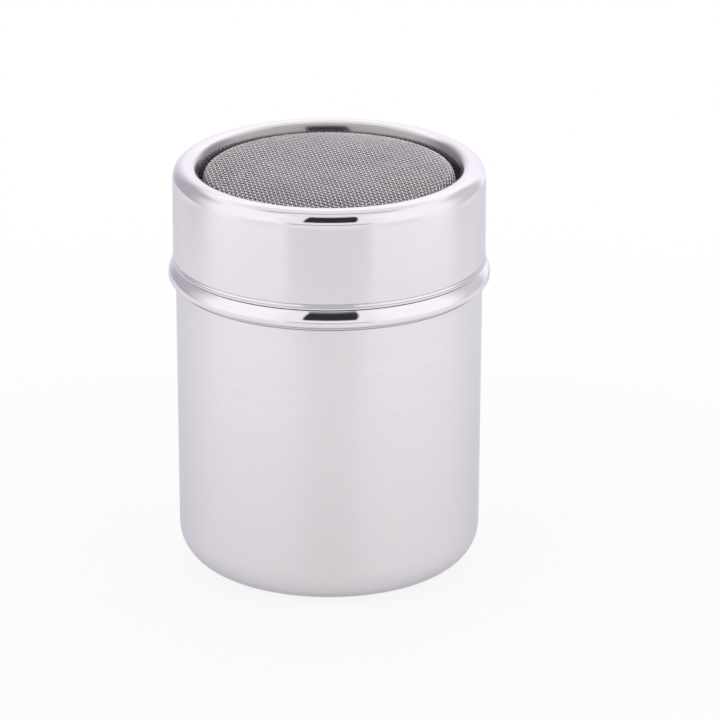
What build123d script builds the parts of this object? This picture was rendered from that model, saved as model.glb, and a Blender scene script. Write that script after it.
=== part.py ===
from build123d import *
import os
from math import ceil, hypot, radians

# Powder shaker: a drawn steel cup with a push-on lid that holds a woven wire screen.
# Millimetres, +Z up, origin at the middle of the underside. Every sheet piece is drawn as one
# outline of its outer skin, as (radius, height), thickened inwards and turned about Z.

# Cup: wall diameters at the neck and at the foot, rounded bottom corner, shallow dished base
# with at least a narrow flat ring round it to stand on
neck_diameter = 65.0
foot_diameter = 64.1
cup_sheet = 0.4
bottom_corner = 8.2
base_dish_diameter = 42.0
base_dish_depth = 0.6
base_ring = 1.0

# Stop bead swaged out of the cup wall: a small round turns in under its crest, and a wide one rises
# from the crest to the narrow ledge that the lid is pushed down to
bead_crest_height = 64.3
bead_reach = 1.6
bead_round = 1.1
bead_rise = 2.8
bead_ledge = 0.7

# Lid: headroom over the cup's mouth, clearance round the neck, gap above the ledge, and the rim
# from the skirt in to the opening
overall_height = 88.4
mouth_headroom = 4.6
lid_sheet = 0.4
neck_clearance = 0.2
seat_gap = 0.2
rim_corner = 2.8
rim_crown = 0.2
rim_lip = 2.5
collar_depth = 8.0
collar_roll = 1.4

# Screen: recess below the rim, gutter between its shoulder and the collar, turned-down edge
screen_thickness = 0.5
screen_recess = 1.3
screen_gutter = 1.4
screen_band = 1.8
screen_shoulder = 1.5
fit_gap = 0.05

# Net of the screen: coarser than the woven wire it stands for, turned a little about Z
net_pitch = 2.5
net_bar = 0.85
net_turn = 8.5
net_margin = 0.4

# Hoop under the screen, with its middle punched out
hoop_sheet = 0.5
hoop_lip = 1.6

# Rounds are struck in flats that turn by no more than this angle, which keeps the pieces light
flat_turn = 42.0

# Radii and heights that follow from the sizes above
neck_radius = neck_diameter / 2
foot_radius = foot_diameter / 2
dish_edge = base_dish_diameter / 2
bottom_round = min(bottom_corner, foot_radius - dish_edge - base_ring)
mouth_height = overall_height - mouth_headroom
crest_radius = neck_radius + bead_reach
bead_underside = bead_crest_height - bead_round
seat_height = bead_crest_height + bead_rise
skirt_radius = neck_radius + neck_clearance + lid_sheet
opening_radius = skirt_radius - rim_corner - rim_crown - rim_lip
collar_height = overall_height - collar_depth
screen_radius = opening_radius - fit_gap
screen_edge_height = collar_height + fit_gap
screen_top = overall_height - screen_recess
shoulder_radius = opening_radius - screen_gutter
hoop_opening = shoulder_radius - hoop_lip


def in_flats(outline):
    """Face inside a closed outline, with every arc of it struck in equal flats."""
    corners = []
    for edge in outline.order_edges():
        flats = 1
        if edge.geom_type == GeomType.CIRCLE:
            flats = ceil(edge.length / edge.radius / radians(flat_turn))
        corners += [edge @ (step / flats) for step in range(flats)]
    return make_face(Polyline(*corners, close=True))


def pressed(outline, sheet, inset=0):
    """Sheet that begins at an outline, or an inset inside it on its left, turned about Z."""
    section = in_flats(outline.offset_2d(inset + sheet, Kind.INTERSECTION, Side.LEFT))
    if inset:
        section -= in_flats(outline.offset_2d(inset, Kind.INTERSECTION, Side.LEFT))
    return revolve(Plane.XZ * section, axis=Axis.Z)


def cup():
    """Drawn cup, its outer skin followed from the middle of the base up to the mouth."""
    under_crest = (crest_radius - bead_round, bead_underside)
    crest = (crest_radius, bead_crest_height)
    ledge_edge = (neck_radius + bead_ledge, seat_height)
    wall = FilletPolyline(
        (0, base_dish_depth),
        (dish_edge - base_dish_depth, base_dish_depth),
        (dish_edge, 0),
        (foot_radius, 0),
        (neck_radius, bead_underside),
        under_crest,
        radius=[0, 0, bottom_round, 0],
    )
    lower_round = TangentArc(crest, under_crest, tangent=(0, -1))
    upper_round = TangentArc(crest, ledge_edge, tangent=(0, 1))
    neck = Polyline(ledge_edge, (neck_radius, seat_height), (neck_radius, mouth_height))
    return pressed(Wire(wall.edges() + [lower_round, upper_round] + neck.edges()), cup_sheet)


def lid_shell():
    """Push-on lid: skirt down to the bead, round rim, and the collar inside the opening."""
    outline = FilletPolyline(
        (skirt_radius, seat_height + seat_gap),
        (skirt_radius, overall_height),
        (opening_radius, overall_height),
        (opening_radius, collar_height),
        (opening_radius - collar_roll, collar_height),
        radius=[rim_corner, rim_lip, 0],
    )
    return pressed(outline, lid_sheet)


def screen_outline():
    """Upper skin of the screen, from its turned-down edge up over the shoulder to the middle."""
    return FilletPolyline(
        (screen_radius, screen_edge_height),
        (screen_radius, screen_edge_height + screen_band),
        (shoulder_radius, screen_top),
        (0, screen_top),
        radius=[0, screen_shoulder],
    )


def net_gaps():
    """Square gaps of the net that lie wholly inside the hoop's opening."""
    gap = net_pitch - net_bar
    reach = hoop_opening - net_margin
    count = int(reach / net_pitch)
    steps = [net_pitch * i for i in range(-count, count + 1)]
    inside = [
        (x, y)
        for x in steps
        for y in steps
        if hypot(abs(x) + gap / 2, abs(y) + gap / 2) < reach
    ]
    gaps = Sketch() + [Pos(x, y) * Rectangle(gap, gap) for x, y in inside]
    return Rot(0, 0, net_turn) * gaps


def mesh_screen():
    """Screen drawn into a shallow cap, its flat top pierced as one net."""
    cap = pressed(screen_outline(), screen_thickness)
    floor = Pos(0, 0, screen_top - 2 * screen_thickness) * net_gaps()
    return cap - extrude(floor, 3 * screen_thickness)


def screen_hoop():
    """Ring that follows the underside of the screen, a pressed cap with its middle punched out."""
    cap = pressed(screen_outline(), hoop_sheet, inset=screen_thickness + fit_gap)
    return cap - Pos(0, 0, screen_top) * Cylinder(hoop_opening, 4 * collar_depth)


pieces = {
    "cup": cup(),
    "lid_shell": lid_shell(),
    "mesh_screen": mesh_screen(),
    "screen_hoop": screen_hoop(),
}
os.makedirs("parts", exist_ok=True)
for name, piece in pieces.items():
    export_step(piece, f"parts/{name}.step")
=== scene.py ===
import bmesh
import bpy
import numpy as np
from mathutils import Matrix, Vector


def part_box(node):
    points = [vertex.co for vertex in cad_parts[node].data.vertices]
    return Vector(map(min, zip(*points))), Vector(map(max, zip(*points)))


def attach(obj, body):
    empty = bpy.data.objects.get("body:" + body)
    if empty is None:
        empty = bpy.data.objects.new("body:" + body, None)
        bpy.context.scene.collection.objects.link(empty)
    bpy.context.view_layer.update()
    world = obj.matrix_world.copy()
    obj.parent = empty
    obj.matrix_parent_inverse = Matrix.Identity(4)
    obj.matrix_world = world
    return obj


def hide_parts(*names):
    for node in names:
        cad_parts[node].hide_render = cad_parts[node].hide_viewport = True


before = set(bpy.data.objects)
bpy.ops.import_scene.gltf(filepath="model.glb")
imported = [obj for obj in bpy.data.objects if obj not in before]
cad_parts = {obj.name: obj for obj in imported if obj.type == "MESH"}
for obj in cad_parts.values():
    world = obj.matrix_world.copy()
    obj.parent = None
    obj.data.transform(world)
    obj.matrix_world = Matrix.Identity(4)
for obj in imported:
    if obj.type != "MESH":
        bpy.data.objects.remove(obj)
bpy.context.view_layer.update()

# Cup. A disc of thin stainless sheet, drawn deep in a press, left satin by an abrasive belt that ran
# round the wall. The stop bead is rolled out of the wall near the mouth and buffed bright.
mm = 0.001
cup_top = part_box("cup")[1]
cup_sheet = 0.4 * mm
dish_edge = 21.0 * mm
dish_depth = 0.6 * mm
dish_bend = 1.0 * mm
foot_radius = 32.05 * mm
bottom_corner = 8.2 * mm
bead_reach = 1.6 * mm
bead_low = 63.2 * mm
bead_slope = 0.1 * mm
bead_shoulder = 65.55 * mm
bead_seat = 67.05 * mm
bead_ledge = 0.5 * mm
bead_rounds = (0.5 * mm, 1.0 * mm, 3.8 * mm, 0.45 * mm, 0.2 * mm)
neck_radius = cup_top.x - bead_reach
turn_segments = 256
arc_steps = 14
edge_steps = 7
merge_distance = 0.0001 * mm


def rounded(corners, radii):
    """Outline through corners, as (radius, height), with an arc in place of each inner corner.

    The arc begins radius x tan(half the turn) before the corner, and its points lie at equal angles
    about its centre, one radius to the side that the outline turns to.
    """
    corners = np.array(corners, float)
    runs = np.diff(corners, axis=0)
    runs /= np.linalg.norm(runs, axis=1, keepdims=True)
    stretches = [corners[:1]]
    for corner, before, after, radius in zip(corners[1:-1], runs[:-1], runs[1:], radii):
        turn = np.arctan2(before[0] * after[1] - before[1] * after[0], before @ after)
        start = corner - before * radius * np.tan(abs(turn) / 2)
        spoke = np.sign(turn) * radius * np.array((before[1], -before[0]))
        angle = np.linspace(0, turn, arc_steps)[:, None]
        swung = spoke * np.cos(angle) + np.array((-spoke[1], spoke[0])) * np.sin(angle)
        stretches.append(start - spoke + swung)
    return np.concatenate(stretches + [corners[-1:]])


def parallel(outline, distance):
    """Copy of an outline at a distance on its left.

    Each point moves by the sum of the unit normals of its two sides, times twice the distance over
    that sum's square, which shifts both sides by the distance.
    """
    runs = np.diff(outline, axis=0)
    normals = np.stack((-runs[:, 1], runs[:, 0]), 1) / np.linalg.norm(runs, axis=1, keepdims=True)
    both = np.vstack((normals[:1], normals)) + np.vstack((normals, normals[-1:]))
    return outline + 2 * distance * both / (both**2).sum(1, keepdims=True)


def round_edge(first, last):
    """Half circle from one skin's end to the other's, its centre halfway, bulging out of the sheet."""
    centre = (first + last) / 2
    spoke = first - centre
    angle = np.linspace(0, np.pi, edge_steps + 2)[1:-1, None]
    return centre + spoke * np.cos(angle) + np.array((-spoke[1], spoke[0])) * np.sin(angle)


def turned(section, closed):
    """Vertices and quads of a section turned about Z.

    Vertex (i, j) is section point i, as (radius, height), at angle 2 pi j / turn_segments. A closed
    section's last point is joined to its first.
    """
    here = np.arange(turn_segments)
    angle = 2 * np.pi * here / turn_segments
    radius, height = section[:, :1], section[:, 1:]
    vertices = np.stack((radius * np.cos(angle), radius * np.sin(angle), height + 0 * angle), -1)
    rows = np.arange(len(section) if closed else len(section) - 1)[:, None] * turn_segments
    above = (rows + turn_segments) % (len(section) * turn_segments)
    beside = (here + 1) % turn_segments
    quads = np.stack((rows + here, rows + beside, above + beside, above + here), -1)
    return vertices.reshape(-1, 3), quads.reshape(-1, 4)


def inner_skin(section, outline):
    """1 for each vertex of a turned section that lies on its inner skin, which follows the first edge."""
    number = np.arange(len(section)) - len(outline) - edge_steps
    return np.repeat((number >= 0) & (number < len(outline)), turn_segments).astype(float)


def add_piece(name, vertices, faces, material, node, body, slot, inside=0):
    """Closed, smooth piece at the origin in place of a CAD node, riding on that node's body."""
    mesh = bpy.data.meshes.new(name)
    mesh.from_pydata(vertices.tolist(), [], faces.tolist())
    skin = mesh.attributes.new("inside", "FLOAT", "POINT")
    skin.data.foreach_set("value", inside + np.zeros(len(vertices)))
    shell = bmesh.new()
    shell.from_mesh(mesh)
    bmesh.ops.remove_doubles(shell, verts=shell.verts, dist=merge_distance)
    bmesh.ops.recalc_face_normals(shell, faces=shell.faces)
    shell.to_mesh(mesh)
    shell.free()
    mesh.shade_smooth()
    mesh.materials.append(material)
    piece = bpy.data.objects.new(name, mesh)
    bpy.context.scene.collection.objects.link(piece)
    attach(piece, body)
    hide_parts(node)


class Field:
    """A value over a surface, held as one output of a node tree; operators add Math nodes."""

    def __init__(self, tree, output=None):
        self.tree = tree
        self.output = output

    def node(self, kind, settings=(), inputs=(), output=0):
        """Output of a new node, whose settings are set first and whose inputs take values or fields."""
        node = self.tree.nodes.new(kind)
        for name, value in dict(settings).items():
            setattr(node, name, value)
        for key, value in dict(inputs).items():
            if isinstance(value, Field):
                self.tree.links.new(value.output, node.inputs[key])
            else:
                node.inputs[key].default_value = value
        return Field(self.tree, node.outputs[output] if node.outputs else None)

    def math(self, operation, *values):
        """Output of a Math node on values or fields."""
        return self.node("ShaderNodeMath", {"operation": operation}, enumerate(values))

    def __add__(self, other):
        return self.math("ADD", self, other)

    def __radd__(self, other):
        return self.math("ADD", other, self)

    def __sub__(self, other):
        return self.math("SUBTRACT", self, other)

    def __rsub__(self, other):
        return self.math("SUBTRACT", other, self)

    def __mul__(self, other):
        return self.math("MULTIPLY", self, other)

    def __rmul__(self, other):
        return self.math("MULTIPLY", other, self)

    def part(self, name):
        """One of X, Y and Z of a vector."""
        return self.node("ShaderNodeSeparateXYZ", (), {"Vector": self}, name)

    def from_axis(self):
        """Distance of a place from the Z axis."""
        x, y = self.part("X"), self.part("Y")
        return x.math("SQRT", x * x + y * y)

    def ray(self, kind):
        """1 for rays of one kind, such as Camera, and 0 for all others."""
        return self.node("ShaderNodeLightPath", (), (), f"Is {kind} Ray")

    def step(self, start, end):
        """0 at start and 1 at end, with a smooth climb between them."""
        limits = {"Value": self, "From Min": start, "From Max": end}
        return self.node("ShaderNodeMapRange", {"interpolation_type": "SMOOTHSTEP"}, limits)

    def band(self, limits):
        """1 between the middle two limits, 0 outside the outer two."""
        return self.step(*limits[:2]) * (1 - self.step(*limits[2:]))

    def lines(self, places, width):
        """1 within a third of a width from each of two places, fading to 0 at a width from it."""
        first, second = (self.math("ABSOLUTE", self - place).step(width, width / 3) for place in places)
        return first + second

    def noise(self, frequency, detail=2.0):
        """Soft noise about 0.5 on this vector, with a frequency per metre along each axis."""
        place = self.node("ShaderNodeMapping", (), {"Vector": self, "Scale": frequency})
        inputs = {"Vector": place, "Scale": 1.0, "Detail": detail}
        return self.node("ShaderNodeTexNoise", (), inputs)

    def blend(self, first, second):
        """Colour that goes from first, where this is 0, to second, where it is 1."""
        return self.node("ShaderNodeMix", {"data_type": "RGBA"}, {0: self, 6: first, 7: second}, 2)


def new_material(name):
    """Empty material, and its object's own coordinates as a field."""
    material = bpy.data.materials.new(name)
    material.use_nodes = True
    material.node_tree.nodes.clear()
    return material, Field(material.node_tree).node("ShaderNodeTexCoord", (), (), "Object")


def inner_side(place):
    """1 on the inner skin of a sheet, from the mesh's own attribute."""
    return place.node("ShaderNodeAttribute", {"attribute_name": "inside"}, (), "Fac")


def metal(place, colour, roughness, relief, relief_depth, **constants):
    """Metal with a varying colour, roughness and relief, whose depth is in metres."""
    bump = place.node("ShaderNodeBump", (), {"Distance": relief_depth, "Height": relief})
    inputs = {"Base Color": colour, "Metallic": 1.0, "Roughness": roughness, "Normal": bump}
    inputs.update({name.replace("_", " "): value for name, value in constants.items()})
    surface = place.node("ShaderNodeBsdfPrincipled", (), inputs)
    place.node("ShaderNodeOutputMaterial", (), {"Surface": surface})


# Painted shade: inside_shade_grey darkens the inner skins of cup and lid, which lie in shadow.
inside_shade_grey = (0.45, 0.43, 0.44, 1)
inside_dulling = 0.3
# Painted shade: this grey darkens the crease under the bead and the two bends of the lid's hem.
painted_shade_grey = (0.38, 0.36, 0.36, 1)
# Painted shade: this grey darkens the wall towards the foot.
foot_shade_grey = (0.80, 0.78, 0.80, 1)
wall_greys = (0.84, 0.82, 0.84, 1), (0.88, 0.86, 0.88, 1)
edge_tint = (0.82, 0.81, 0.87, 1)
grain_turn = 0.25
buffed_edge = bead_low - 0.6 * mm
# Painted shade lines in the crease under the bead.
crease_shade_lines = (bead_low - 0.65 * mm, bead_low - 0.25 * mm)
crease_shade_width = 0.2 * mm
bead_roughness = 0.08
ground_roughness = 0.12
grinding_depth = 0.001 * mm
noise_limits = (0.3, 0.7)
ring_frequency = (60, 60, 9000)
band_frequency = (25, 25, 900)
patch_frequency = (45, 45, 120)
patch_limits = (0.5, 0.62)
scratch_frequency = (220, 220, 9000)
scratch_limits = (0.70, 0.76)


def satin_steel():
    """Wall ground in rings, with scratches, with painted shade darkening it towards the foot and on the
    inside, which is rougher too.

    The bead above it is buffed, and a painted shade line lies in the crease under it.
    """
    material, place = new_material("satin_steel")
    inside = inner_side(place)
    height = place.part("Z")
    wall = 1 - height.step(buffed_edge, bead_low)
    # Painted shade in the crease under the bead.
    crease = height.lines(crease_shade_lines, crease_shade_width)
    rings = place.noise(ring_frequency, detail=3.0)
    bands = place.noise(band_frequency)
    patches = place.noise(patch_frequency).step(*patch_limits)
    scratches = place.noise(scratch_frequency).step(*scratch_limits) * patches
    light = rings * 0.6 + bands * 0.4
    bright = light.step(*noise_limits).blend(*wall_greys)
    # Painted shade: the wall darkens from its own grey towards the foot.
    ground = height.step(bottom_corner, bead_low).blend(foot_shade_grey, bright)
    # Painted shade in the crease and on the inner skin.
    colour = inside.blend(crease.blend(ground, painted_shade_grey), inside_shade_grey)
    roughness = bead_roughness + wall * (ground_roughness + 0.07 * rings + 0.04 * bands + 0.1 * scratches)
    relief = wall * (rings - 0.6 * scratches)
    metal(place, colour, roughness + inside_dulling * inside, relief, grinding_depth, Anisotropic=0.9,
          Anisotropic_Rotation=grain_turn, Specular_Tint=edge_tint)
    return material


cup_outline = rounded(
    [
        (0, dish_depth),
        (dish_edge - dish_depth, dish_depth),
        (dish_edge, 0),
        (foot_radius, 0),
        (neck_radius, bead_low),
        (cup_top.x, bead_low + bead_slope),
        (cup_top.x, bead_shoulder),
        (neck_radius + bead_ledge, bead_seat),
        (neck_radius, bead_seat),
        (neck_radius, cup_top.z - cup_sheet / 2),
    ],
    [dish_bend, dish_bend, bottom_corner, *bead_rounds],
)
cup_inside = parallel(cup_outline, cup_sheet)
cup_mouth = round_edge(cup_outline[-1], cup_inside[-1])
cup_section = np.concatenate((cup_outline, cup_mouth, cup_inside[::-1]))
add_piece("cup_body", *turned(cup_section, False), satin_steel(), "cup", "cup", "satin_steel",
          inner_skin(cup_section, cup_outline))

# Lid shell. The same sheet, drawn into a cap that pushes over the cup's neck down to the bead. Its top
# is pierced and turned down into a collar, whose rolled lower end carries the screen. Polished outside.
lid_low, lid_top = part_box("lid_shell")
lid_sheet = 0.4 * mm
hem_drop = 0.15 * mm
hem_reach = 0.15 * mm
hem_height = 0.55 * mm
hem_rise = 0.65 * mm
hem_bend = 2.0 * mm
rim_corner = 2.8 * mm
rim_crown = 0.2 * mm
rim_lip = 2.5 * mm
collar_depth = 8.0 * mm
collar_roll = 1.4 * mm
collar_bend = 0.2 * mm
hem_edge = lid_low.z - hem_drop
hem_top = hem_edge + hem_height
opening_radius = lid_top.x - rim_corner - rim_crown - rim_lip
collar_height = lid_top.z - collar_depth
# Painted shade: the collar, down inside the opening, is darkened because it lies in shadow.
collar_shade_grey = (0.40, 0.38, 0.38, 1)
collar_fade = (opening_radius + 0.4 * mm, opening_radius + 1.3 * mm)
collar_roughness = 0.14
buffed_greys = (0.83, 0.81, 0.83, 1), (0.85, 0.83, 0.85, 1)
skirt_fade = (lid_top.z - 4.4 * mm, lid_top.z - 3.2 * mm)
skirt_roughness = 0.07
rim_roughness = 0.07
# Painted shade lines at the hem's two bends: their width and strength.
hem_shade_width = 0.18 * mm
hem_shade_strength = 0.6
buffing_depth = 0.0004 * mm
buffing_frequency = (50, 50, 7000)
sheen_frequency = (20, 20, 600)
handled_frequency = (40, 40, 90)
handled_limits = (0.5, 0.6)
hairline_frequency = (160, 160, 8000)
hairline_limits = (0.68, 0.75)


def polished_steel():
    """Buffed sheet, with faint rings on the skirt and a bright rim.

    The hem's two bends carry painted shade lines, and the collar and the inside are rougher and painted
    darker, as shade.
    """
    material, place = new_material("polished_steel")
    inside = inner_side(place)
    height = place.part("Z")
    collar = 1 - place.from_axis().step(*collar_fade)
    skirt = 1 - height.step(*skirt_fade)
    # Painted shade lines at the hem's two bends.
    hem = height.lines((hem_top, hem_top + hem_rise), hem_shade_width)
    rings = place.noise(buffing_frequency, detail=3.0)
    bands = place.noise(sheen_frequency)
    patches = place.noise(handled_frequency).step(*handled_limits)
    hairlines = place.noise(hairline_frequency).step(*hairline_limits) * patches
    light = rings * 0.5 + bands * 0.5
    buffed = light.step(*noise_limits).blend(*buffed_greys)
    # Painted shade on the collar and at the hem's bends.
    outside = collar.blend((hem * hem_shade_strength).blend(buffed, painted_shade_grey), collar_shade_grey)
    lines = skirt_roughness + 0.05 * rings + 0.03 * bands + 0.06 * hairlines
    roughness = rim_roughness + collar_roughness * collar + skirt * lines + inside_dulling * inside
    relief = skirt * (rings - 0.5 * hairlines)
    # Painted shade on the lid's inner skin.
    metal(place, inside.blend(outside, inside_shade_grey), roughness, relief, buffing_depth, Anisotropic=0.95,
          Anisotropic_Rotation=grain_turn, Specular_Tint=edge_tint)
    return material


def sheet_loop(outline, thickness):
    """Closed section of a sheet: an outline, its copy inside the sheet, and a round edge at each end."""
    inside = parallel(outline, thickness)
    ends = round_edge(outline[-1], inside[-1]), round_edge(inside[0], outline[0])
    return np.concatenate((outline, ends[0], inside[::-1], ends[1]))


lid_outline = rounded(
    [
        (lid_top.x + hem_reach, hem_edge + lid_sheet / 2),
        (lid_top.x + hem_reach, hem_top),
        (lid_top.x, hem_top + hem_rise),
        (lid_top.x, lid_top.z),
        (opening_radius, lid_top.z),
        (opening_radius, collar_height),
        (opening_radius - collar_roll, collar_height),
    ],
    [hem_bend, hem_bend, rim_corner, rim_lip, collar_bend],
)
lid_section = sheet_loop(lid_outline, lid_sheet)
add_piece("lid_cap", *turned(lid_section, True), polished_steel(), "lid_shell", "lid", "polished_steel",
          inner_skin(lid_section, lid_outline))

# Screen hoop. A pressed ring of sheet under the edge of the screen, sprung in behind the collar's roll,
# which keeps the screen drawn up against the collar. Dull as it came from the press, and painted near black
# as shade under the screen.
screen_low, screen_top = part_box("mesh_screen")
screen_thickness = 0.5 * mm
screen_gutter = 1.4 * mm
screen_band = 1.8 * mm
screen_shoulder = 2.0 * mm
screen_heel = 0.6 * mm
dome_rise = 1.0 * mm
dome_power = 4
dome_steps = 40
hoop_gap = 0.05 * mm
hoop_sheet = 0.5 * mm
hoop_lip = 1.6 * mm
# Painted shade: the hoop's near-black greys stand for the shadow under the screen.
hoop_shade_greys = (0.12, 0.115, 0.12, 1), (0.15, 0.145, 0.15, 1)
hoop_roughness = 0.32
rolling_depth = 0.002 * mm
rolling_frequency = (300, 4000, 300)
cloud_frequency = (90, 90, 90)
shoulder_radius = opening_radius - screen_gutter
hoop_opening = shoulder_radius - hoop_lip


def domed(outline):
    """Outline whose flat end, the run in to the axis, is raised into a dome.

    At each radius it rises by dome_rise times 1 - (radius / the flat's radius) to the power dome_power.
    """
    radius = np.linspace(outline[-2, 0], 0, dome_steps)
    height = outline[-1, 1] + dome_rise * (1 - (radius / radius[0]) ** dome_power)
    return np.concatenate((outline[:-2], np.stack((radius, height), 1)))


def shaded_hoop_steel():
    """Sheet as rolled: dull, with a fine grain that runs one way and a few darker clouds; its near-black
    grey is painted shade.
    """
    material, place = new_material("hoop_steel")
    grain = place.noise(rolling_frequency, detail=3.0)
    clouds = place.noise(cloud_frequency)
    colour = clouds.step(*noise_limits).blend(*hoop_shade_greys)
    metal(place, colour, hoop_roughness + 0.12 * grain, grain, rolling_depth)
    return material


screen_cap = rounded(
    [
        (screen_top.x, screen_low.z),
        (screen_top.x, screen_low.z + screen_band),
        (shoulder_radius, screen_top.z),
        (0, screen_top.z),
    ],
    [screen_heel + screen_thickness + hoop_gap + hoop_sheet, screen_shoulder],
)
screen_skin = domed(screen_cap)
hoop_skin = parallel(screen_skin, screen_thickness + hoop_gap)
hoop_outline = hoop_skin[hoop_skin[:, 0] > hoop_opening]
hoop_section = sheet_loop(hoop_outline, hoop_sheet)
add_piece("hoop_ring", *turned(hoop_section, True), shaded_hoop_steel(), "screen_hoop", "lid", "hoop_steel")

# Woven screen. Drawn steel wire in a plain weave of 30 by 33 wires to the inch, cut as a disc and pressed
# down round its edge into a shallow cap. At each crossing one of warp and weft is crimped up over the other,
# so their crimps have opposite signs.
warp_pitch = 0.848 * mm
weft_pitch = 0.765 * mm
weave_turn = np.radians(8.5)
warp_radius = 0.096 * mm
weft_radius = 0.09 * mm
warp_crimp = 0.08 * mm
weft_crimp = -0.106 * mm
wire_sides = 5
wire_bends = 3
wire_greys = (0.97, 0.94, 0.96, 1), (0.90, 0.87, 0.89, 1)
wire_roughness = 0.2
drawing_depth = 0.003 * mm
drawing_frequency = (2500, 2500, 2500)
film_frequency = (120, 120, 120)
film_limits = (0.35, 0.7)
least_distance = 0.001 * mm
screen_middle = parallel(screen_skin, screen_thickness / 2)[::-1]
screen_runs = np.linalg.norm(np.diff(screen_middle, axis=0), axis=1)
screen_arc = np.concatenate(([0], np.cumsum(screen_runs)))
screen_reach = screen_arc[-1]


def unit(vectors):
    """Vectors divided by their lengths; those of no length stay so."""
    return vectors / np.maximum(np.linalg.norm(vectors, axis=-1, keepdims=True), np.finfo(float).tiny)


def draped(across, along):
    """Place and upward normal on the screen of points of the flat disc.

    A point's distance from the disc's middle is laid off along the screen's outline, in the direction
    in which it lay, and the normal is the outline's slope, turned a quarter upwards.
    """
    distance = np.maximum(np.hypot(across, along), least_distance)
    radius = np.interp(distance, screen_arc, screen_middle[:, 0])
    height = np.interp(distance, screen_arc, screen_middle[:, 1])
    slope = np.gradient(screen_middle, screen_arc, axis=0)
    outwards = np.interp(distance, screen_arc, slope[:, 0])
    downwards = -np.interp(distance, screen_arc, slope[:, 1])
    x, y = across / distance, along / distance
    place = np.stack((radius * x, radius * y, height), -1)
    normal = np.stack((downwards * x, downwards * y, outwards), -1)
    return place, unit(normal)


def woven_wires(turn, crimp, wire_radius, pitch, crossing_pitch):
    """Vertices and quads of all the wires that run one way.

    Wire i lies i pitches from the middle. Its centre is the draped line, lifted along the normal by the
    crimp times cos(pi (distance along / crossing pitch + i)). Vertices go round it in rings, wire_bends to
    each crossing; those past the screen's edge all fall on the wire's end, where they are merged.
    """
    count = int(screen_reach / pitch)
    number = np.arange(-count, count + 1)[:, None]
    across = number * pitch
    half_length = np.sqrt(screen_reach**2 - across**2)
    step = crossing_pitch / wire_bends
    steps = int(screen_reach / step) + 1
    stations = step * np.arange(-steps, steps + 1)
    along = np.clip(stations, -half_length, half_length)
    place, normal = draped(across + 0 * along, along)
    wave = np.cos(np.pi * (along / crossing_pitch + number))[..., None]
    centre = place + crimp * wave * normal
    ahead = unit(np.gradient(centre, axis=1))
    side = unit(np.cross(ahead, normal))
    up = np.cross(side, ahead)
    girth = wire_radius * (np.abs(stations) < half_length)
    angle = 2 * np.pi * np.arange(wire_sides)[:, None] / wire_sides
    spokes = np.cos(angle) * up[:, :, None] + np.sin(angle) * side[:, :, None]
    rings = centre[:, :, None] + girth[:, :, None, None] * spokes
    cos_turn, sin_turn = np.cos(turn), np.sin(turn)
    swung = rings @ np.array(((cos_turn, sin_turn, 0), (-sin_turn, cos_turn, 0), (0, 0, 1)))
    first = np.arange(swung[..., 0].size).reshape(swung.shape[:3])
    near, far = first[:, :-1], first[:, 1:]
    quads = np.stack((near, np.roll(near, -1, 2), np.roll(far, -1, 2), far), -1)
    return swung.reshape(-1, 3), quads.reshape(-1, 4)


def screen_wire():
    """Drawn wire: bright, a little duller in patches where powder and handling have left a film."""
    material, place = new_material("screen_wire")
    film = place.noise(film_frequency, detail=3.0)
    drawn = place.noise(drawing_frequency)
    colour = film.step(*film_limits).blend(*wire_greys)
    metal(place, colour, wire_roughness + 0.1 * film + 0.06 * drawn, drawn, drawing_depth)
    return material


wire_finish = screen_wire()
warp = woven_wires(weave_turn, warp_crimp, warp_radius, warp_pitch, weft_pitch)
weft = woven_wires(weave_turn + np.pi / 2, weft_crimp, weft_radius, weft_pitch, warp_pitch)
add_piece("warp_wires", *warp, wire_finish, "mesh_screen", "lid", "screen_wire")
add_piece("weft_wires", *weft, wire_finish, "mesh_screen", "lid", "screen_wire")

# Floor. A table top of white paper that takes the shaker's soft shadow; seen by the camera it is mostly
# plain white, and it ends close by, so that the steel shows the tent beyond it.
floor_half = 0.30
floor_shade = 0.85
floor_fade = (0.06, 0.24)
floor_mirrored = 0.4
paper_whites = (0.93, 0.93, 0.93, 1), (0.95, 0.95, 0.95, 1)
plain_white = (1, 1, 1, 1)
fibre_frequency = (900, 900, 900)


def white_paper():
    """White diffuse paper, lifted towards plain white.

    For camera and transmission rays the lift is floor_shade round the shaker and grows to 1 over floor_fade,
    so that the paper's edge does not show. For glossy rays it is floor_mirrored.
    """
    material, place = new_material("white_paper")
    fibres = place.noise(fibre_frequency).step(*noise_limits)
    paper = place.node("ShaderNodeBsdfDiffuse", (), {"Color": fibres.blend(*paper_whites)})
    glow = place.node("ShaderNodeEmission", (), {"Color": plain_white, "Strength": 1.0})
    seen = place.ray("Camera") + place.ray("Transmission")
    shade = (1 - place.from_axis().step(*floor_fade)) * (1 - floor_shade)
    lift = (1 - shade) * seen + floor_mirrored * place.ray("Glossy")
    surface = place.node("ShaderNodeMixShader", (), {0: lift, 1: paper, 2: glow})
    place.node("ShaderNodeOutputMaterial", (), {"Surface": surface})
    return material


floor_mesh = bpy.data.meshes.new("floor")
floor_corners = floor_half * np.array(((-1, -1, 0), (1, -1, 0), (1, 1, 0), (-1, 1, 0)))
floor_mesh.from_pydata(floor_corners.tolist(), [], [(0, 1, 2, 3)])
floor_mesh.materials.append(white_paper())
floor = bpy.data.objects.new("floor", floor_mesh)
bpy.context.scene.collection.objects.link(floor)

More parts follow.
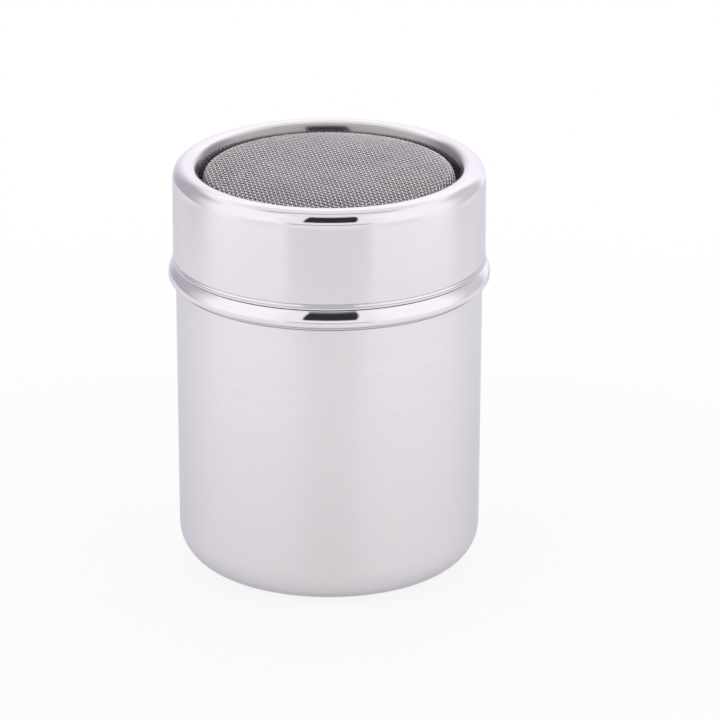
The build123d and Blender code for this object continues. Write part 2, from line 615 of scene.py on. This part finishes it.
# Light. A white tent round the table, with a soft box on each side, grey posts behind them and a bar across
# its roof. At its front are a low seam and a gap, which shows dark in the rounds of the rim and the bead.
# Its places are in degrees: azimuth from the front, elevation, and the bar's tilt from overhead forwards.
front_light = (0.97, 0.95, 0.98, 1)
box_light = (1.09, 1.06, 1.09, 1)
box_azimuth = (26, 46)
back_light = (1.20, 1.17, 1.20, 1)
back_azimuth = (134, 150)
left_light = (0.52, 0.50, 0.55, 1)
left_azimuth = (-180, -138, -122, -84)
right_light = (0.70, 0.68, 0.73, 1)
right_azimuth = (90, 118, 132, 150)
post_elevation = (30, 45)
roof_light = (0.92, 0.89, 0.93, 1)
roof_elevation = (45, 65)
bar_light = (0.20, 0.18, 0.20, 1)
bar_tilt = (1, 3, 6, 8)
bar_elevation = (55, 66)
seam_light = (0.42, 0.40, 0.41, 1)
seam_elevation = (-14.5, -13, -9, -7.5)
seam_azimuth = (26, 34)
gap_light = (0.03, 0.03, 0.035, 1)
gap_azimuth = (17.5, 19.5)
gap_elevation = (6, 9, 50, 60)
gap_lean = 0.075

world = bpy.data.worlds.new("light_tent")
bpy.context.scene.world = world
world.use_nodes = True
world.node_tree.nodes.clear()
direction = Field(world.node_tree).node("ShaderNodeTexCoord", (), (), "Generated")
across, away, up = (direction.part(axis) for axis in "XYZ")
degrees_per_radian = np.degrees(1)
azimuth = across.math("ARCTAN2", across, 0 - away) * degrees_per_radian
elevation = up.math("ARCSINE", up) * degrees_per_radian
tilt = up.math("ARCTAN2", 0 - away, up) * degrees_per_radian
aside = azimuth.math("ABSOLUTE", azimuth)
# The gap's left edge stands upright. Its right edge leans out, by twice gap_lean for each degree upwards.
lean = gap_lean * (elevation - gap_elevation[0])
leaning = azimuth - lean
gap_side = (leaning.math("ABSOLUTE", leaning) - lean).step(*gap_azimuth)
gap = elevation.band(gap_elevation) * (1 - gap_side)
low = 1 - elevation.step(*post_elevation)
left = azimuth.band(left_azimuth) * low
right = azimuth.band(right_azimuth) * low
bar = tilt.band(bar_tilt) * elevation.step(*bar_elevation)
seam = elevation.band(seam_elevation) * (1 - aside.step(*seam_azimuth))
glow = aside.step(*box_azimuth).blend(front_light, box_light)
glow = aside.step(*back_azimuth).blend(glow, back_light)
glow = elevation.step(*roof_elevation).blend(glow, roof_light)
glow = left.blend(glow, left_light)
glow = right.blend(glow, right_light)
glow = bar.blend(glow, bar_light)
glow = seam.blend(glow, seam_light)
glow = gap.blend(glow, gap_light)
seen = direction.ray("Camera") + direction.ray("Transmission")
glow = seen.blend(glow, plain_white)
background = direction.node("ShaderNodeBackground", (), {"Color": glow, "Strength": 1.0})
direction.node("ShaderNodeOutputWorld", (), {"Surface": background})

# Camera. A long lens from the front, a little above the shaker; the frame is shifted so that the shaker
# stands left of its middle.
frame_pixels = 720
axis_column = 329.2
pixels_per_metre = 4692
camera_distance = 1.3
camera_elevation = np.radians(20.2)
aim_height = 44.1 * mm

camera_data = bpy.data.cameras.new("camera")
camera_data.lens = pixels_per_metre * camera_distance * camera_data.sensor_width / frame_pixels
camera_data.shift_x = 0.5 - axis_column / frame_pixels
camera = bpy.data.objects.new("camera", camera_data)
camera.location = (
    0,
    -camera_distance * np.cos(camera_elevation),
    aim_height + camera_distance * np.sin(camera_elevation),
)
camera.rotation_euler = (np.pi / 2 - camera_elevation, 0, 0)
bpy.context.scene.collection.objects.link(camera)
bpy.context.scene.camera = camera
bpy.context.scene.view_settings.view_transform = "Standard"
